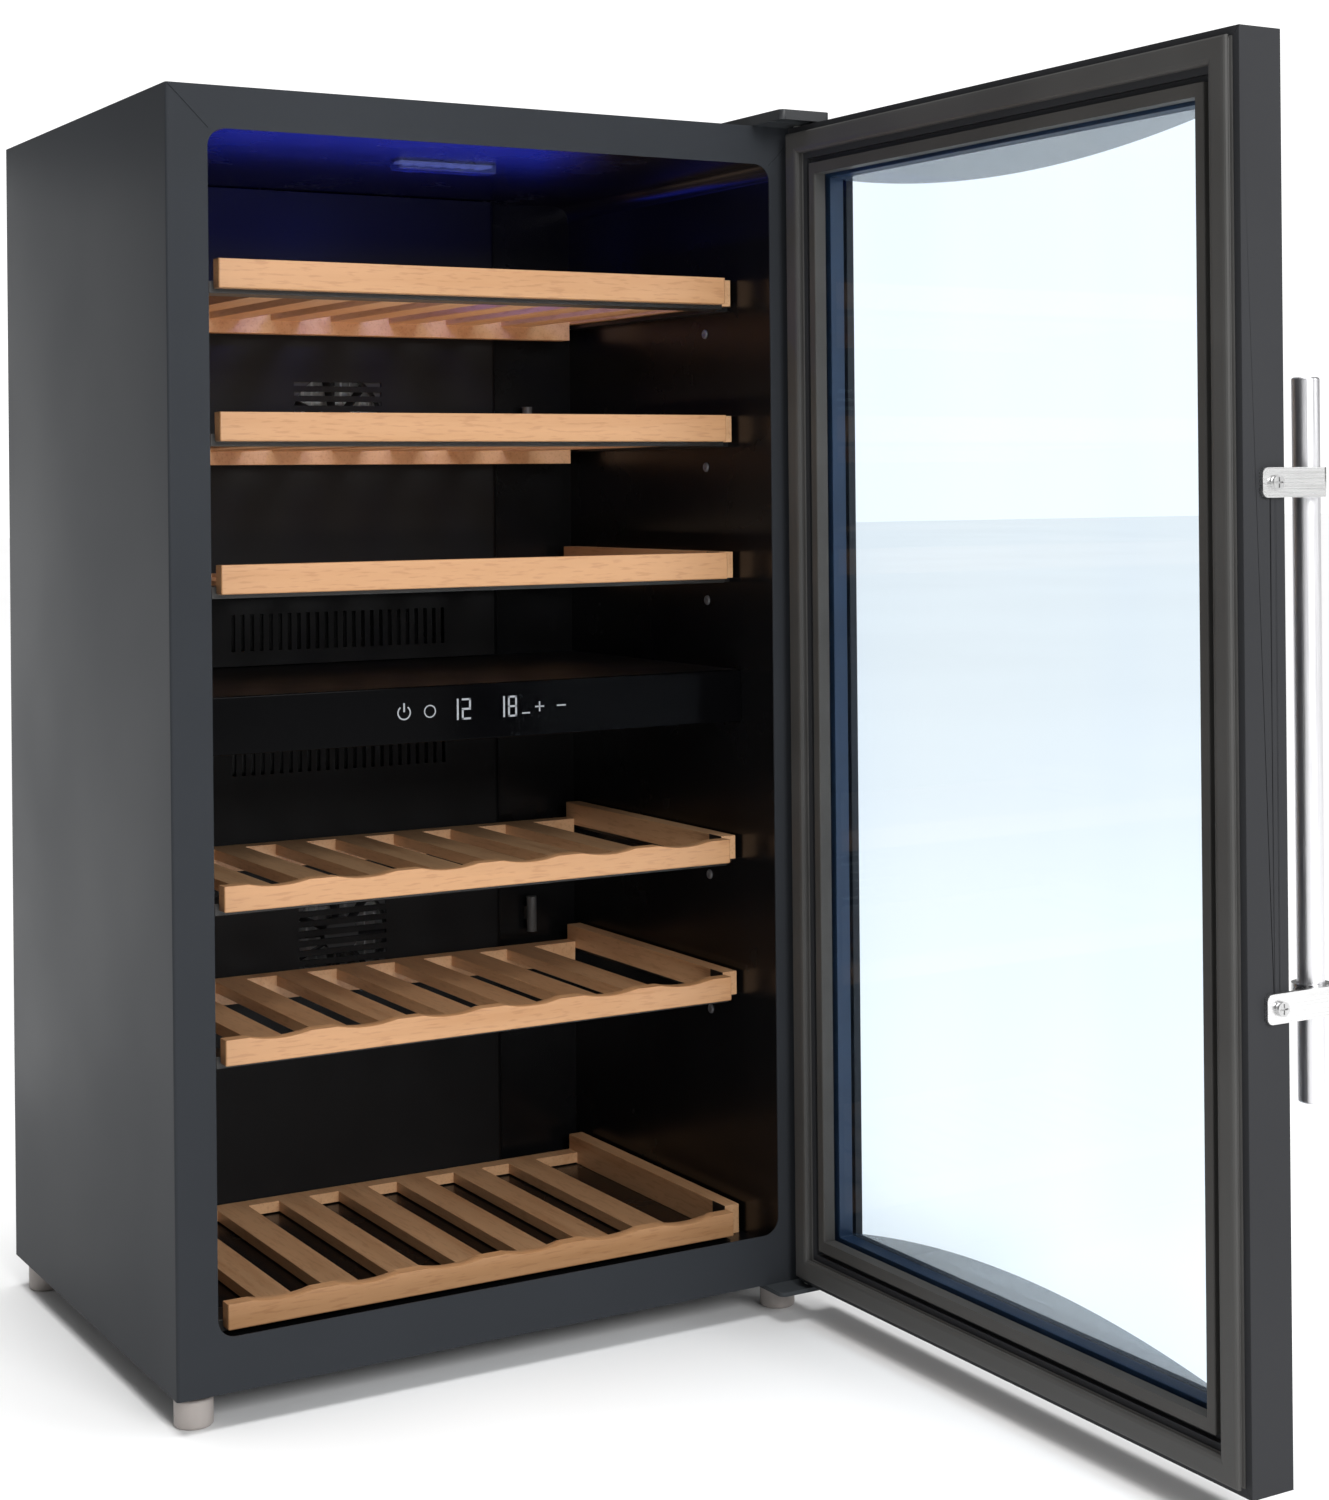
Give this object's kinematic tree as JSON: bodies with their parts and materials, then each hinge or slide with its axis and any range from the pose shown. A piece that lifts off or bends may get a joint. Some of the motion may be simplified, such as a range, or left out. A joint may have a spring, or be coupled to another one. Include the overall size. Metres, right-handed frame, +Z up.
{
  "type": "wine cooler",
  "caption": "Free-standing dual-zone wine cooler with open glass door, bar handle, wooden pull-out shelves, touch control divider and levelling feet.",
  "frame": {"origin": "middle of the whole object's footprint on the floor, with the door open at a right angle as stored", "axes": "+X to the cabinet's right seen from the front, where the door is hinged; +Y to its back; +Z up"},
  "size_m": [0.5267, 0.8594, 0.854],
  "materials": {
    "charcoal_paint": "satin",
    "base_steel": "satin",
    "back_steel": "satin",
    "foam": "matte",
    "liner_black": "satin",
    "divider_black": "satin",
    "panel_gloss": "gloss",
    "board_green": "satin",
    "display_black": "gloss",
    "led_board": "satin",
    "lamp_clear": "satin",
    "duct_black": "matte",
    "sink_aluminium": "satin",
    "module_ceramic": "matte",
    "fan_black": "satin",
    "supply_steel": "satin",
    "cover_black": "matte",
    "gland_rubber": "matte",
    "probe_white": "matte",
    "runner_black": "satin",
    "hinge_steel": "satin",
    "pin_steel": "satin",
    "cover_charcoal": "satin",
    "foot_grey": "satin",
    "door_charcoal": "satin",
    "retainer_grey": "satin",
    "gasket_grey": "matte",
    "door_glass": "gloss",
    "spacer_navy": "satin",
    "bush_nylon": "satin",
    "handle_steel": "satin",
    "beech": "satin",
    "beech_tray": "satin"
  },
  "bodies": {
    "cabinet": {"cabinet_shell": "charcoal_paint", "base_pan": "base_steel", "back_panel": "back_steel", "insulation_foam": "foam", "inner_liner": "liner_black", "zone_divider": "divider_black", "control_panel": "panel_gloss", "control_board": "board_green", "display_modules": "display_black", "lamp_board": "led_board", "lamp_lens": "lamp_clear", "upper_duct_cover": "duct_black", "lower_duct_cover": "duct_black", "cold_sinks": "sink_aluminium", "peltier_modules": "module_ceramic", "hot_sinks": "sink_aluminium", "cold_fan_frames": "fan_black", "hot_fan_frames": "fan_black", "power_supply": "supply_steel", "rear_cover": "cover_black", "lead_gland": "gland_rubber", "temperature_probes": "probe_white", "shelf_runners": "runner_black", "top_hinge_plate": "hinge_steel", "bottom_hinge_plate": "hinge_steel", "hinge_pins": "pin_steel", "top_hinge_cover": "cover_charcoal"},
    "door": {"door_hinge_stile": "door_charcoal", "door_free_stile": "door_charcoal", "door_top_rail": "door_charcoal", "door_bottom_rail": "door_charcoal", "door_retainer": "retainer_grey", "door_gasket": "gasket_grey", "outer_pane": "door_glass", "inner_pane": "door_glass", "pane_spacer": "spacer_navy", "hinge_bushes": "bush_nylon", "handle_tube": "handle_steel", "handle_brackets": "handle_steel", "handle_screws": "pin_steel"},
    "shelf_1": {"shelf_1_fascia": "beech", "shelf_1_tray": "beech_tray"},
    "shelf_2": {"shelf_2_fascia": "beech", "shelf_2_tray": "beech_tray"},
    "shelf_3": {"shelf_3_fascia": "beech", "shelf_3_tray": "beech_tray"},
    "shelf_4": {"shelf_4_fascia": "beech", "shelf_4_tray": "beech_tray"},
    "shelf_5": {"shelf_5_fascia": "beech", "shelf_5_tray": "beech_tray"},
    "shelf_6": {"shelf_6_fascia": "beech", "shelf_6_tray": "beech_tray"},
    "upper_cold_fan": {"upper_cold_fan_rotor": "fan_black"},
    "upper_hot_fan": {"upper_hot_fan_rotor": "fan_black"},
    "lower_cold_fan": {"lower_cold_fan_rotor": "fan_black"},
    "lower_hot_fan": {"lower_hot_fan_rotor": "fan_black"},
    "front_left_foot": {"front_left_foot": "foot_grey"},
    "rear_left_foot": {"rear_left_foot": "foot_grey"},
    "front_right_foot": {"front_right_foot": "foot_grey"},
    "rear_right_foot": {"rear_right_foot": "foot_grey"}
  },
  "joints": [
    {"name": "door_swing", "type": "hinge", "parent": "cabinet", "child": "door", "pos_m": [0.19862, 0.03785, 0.4345], "axis": [0, 0, 1], "range_deg": [-90, 20]},
    {"name": "shelf_1_slide", "type": "slide", "parent": "cabinet", "child": "shelf_1", "axis": [0, -1, 0], "range_m": [0, 0.22]},
    {"name": "shelf_2_slide", "type": "slide", "parent": "cabinet", "child": "shelf_2", "axis": [0, -1, 0], "range_m": [0, 0.22]},
    {"name": "shelf_3_slide", "type": "slide", "parent": "cabinet", "child": "shelf_3", "axis": [0, -1, 0], "range_m": [0, 0.22]},
    {"name": "shelf_4_slide", "type": "slide", "parent": "cabinet", "child": "shelf_4", "axis": [0, -1, 0], "range_m": [0, 0.22]},
    {"name": "shelf_5_slide", "type": "slide", "parent": "cabinet", "child": "shelf_5", "axis": [0, -1, 0], "range_m": [0, 0.22]},
    {"name": "shelf_6_lift", "type": "slide", "parent": "cabinet", "child": "shelf_6", "axis": [0, 0, 1], "range_m": [0, 0.05]},
    {"name": "upper_cold_fan_spin", "type": "hinge", "parent": "cabinet", "child": "upper_cold_fan", "pos_m": [-0.02838, 0.35565, 0.642], "axis": [0, 1, 0], "continuous": true},
    {"name": "upper_hot_fan_spin", "type": "hinge", "parent": "cabinet", "child": "upper_hot_fan", "pos_m": [-0.02838, 0.41265, 0.642], "axis": [0, 1, 0], "continuous": true},
    {"name": "lower_cold_fan_spin", "type": "hinge", "parent": "cabinet", "child": "lower_cold_fan", "pos_m": [-0.02838, 0.35565, 0.247], "axis": [0, 1, 0], "continuous": true},
    {"name": "lower_hot_fan_spin", "type": "hinge", "parent": "cabinet", "child": "lower_hot_fan", "pos_m": [-0.02838, 0.41265, 0.247], "axis": [0, 1, 0], "continuous": true},
    {"name": "front_left_foot_turn", "type": "hinge", "parent": "cabinet", "child": "front_left_foot", "pos_m": [-0.24638, 0.06965, 0], "axis": [0, 0, 1], "range_deg": [-360, 1080]},
    {"name": "rear_left_foot_turn", "type": "hinge", "parent": "cabinet", "child": "rear_left_foot", "pos_m": [-0.24638, 0.39765, 0], "axis": [0, 0, 1], "range_deg": [-360, 1080]},
    {"name": "front_right_foot_turn", "type": "hinge", "parent": "cabinet", "child": "front_right_foot", "pos_m": [0.18962, 0.06965, 0], "axis": [0, 0, 1], "range_deg": [-360, 1080]},
    {"name": "rear_right_foot_turn", "type": "hinge", "parent": "cabinet", "child": "rear_right_foot", "pos_m": [0.18962, 0.39765, 0], "axis": [0, 0, 1], "range_deg": [-360, 1080]}
  ]
}
